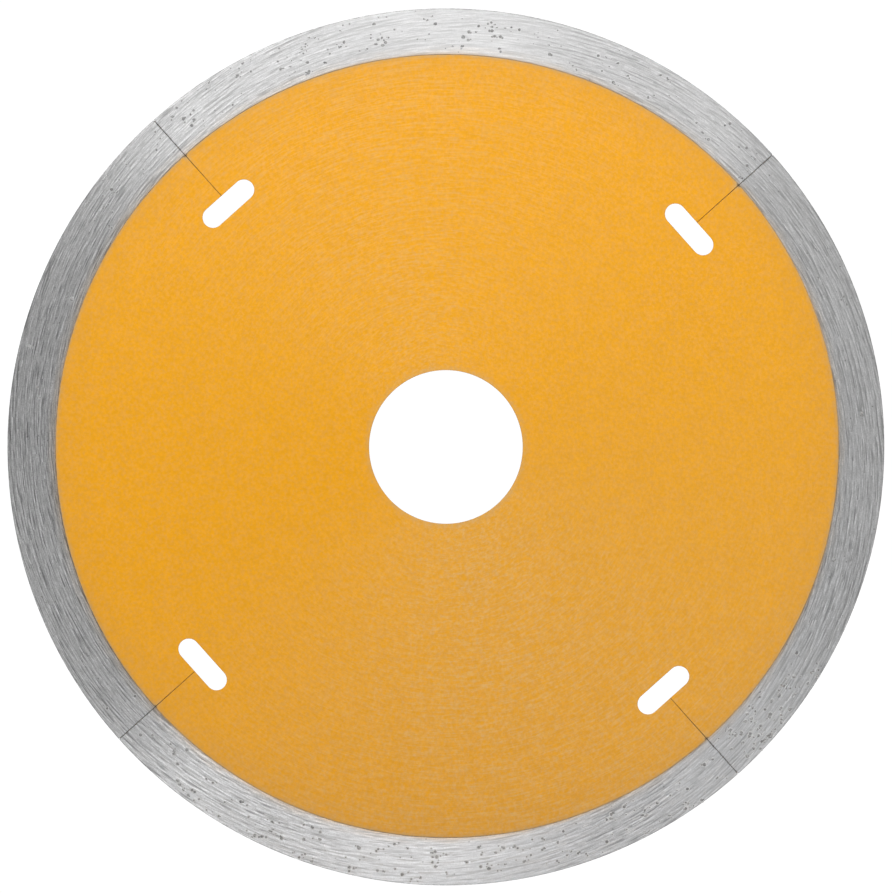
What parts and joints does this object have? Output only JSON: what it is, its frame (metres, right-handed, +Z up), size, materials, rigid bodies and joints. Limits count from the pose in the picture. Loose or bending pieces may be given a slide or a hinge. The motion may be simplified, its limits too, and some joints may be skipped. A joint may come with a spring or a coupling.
{
  "type": "diamond blade",
  "caption": "Flat round diamond cutting blade: orange painted steel core with a plain bore, and a ground continuous diamond rim parted by radial slits that end in rounded slots.",
  "frame": {"origin": "centre of the bore at the blade's mid thickness", "axes": "blade stands like a wheel: +Y along the spin axis from the front face to the rear face, +Z up, front face towards -Y"},
  "size_m": [0.127, 0.0016, 0.127],
  "materials": {
    "core_steel": "rolled steel, bare only in the bore, slots and slits",
    "orange_paint": "thin satin orange-yellow paint with a fine mottle and faint concentric scratches",
    "rim_metal": "sintered diamond rim ground flat, streaked along its circumference, with diamond grains and their tails showing",
    "bond_metal": "ground like the rim, a little warmer, without diamond"
  },
  "bodies": {
    "root": {"core": "core_steel", "paint_front": "orange_paint", "paint_rear": "orange_paint", "rim_quarter_1": "rim_metal", "rim_quarter_2": "rim_metal", "rim_quarter_3": "rim_metal", "rim_quarter_4": "rim_metal", "bond_strip_1": "bond_metal", "bond_strip_2": "bond_metal", "bond_strip_3": "bond_metal", "bond_strip_4": "bond_metal"}
  },
  "joints": []
}
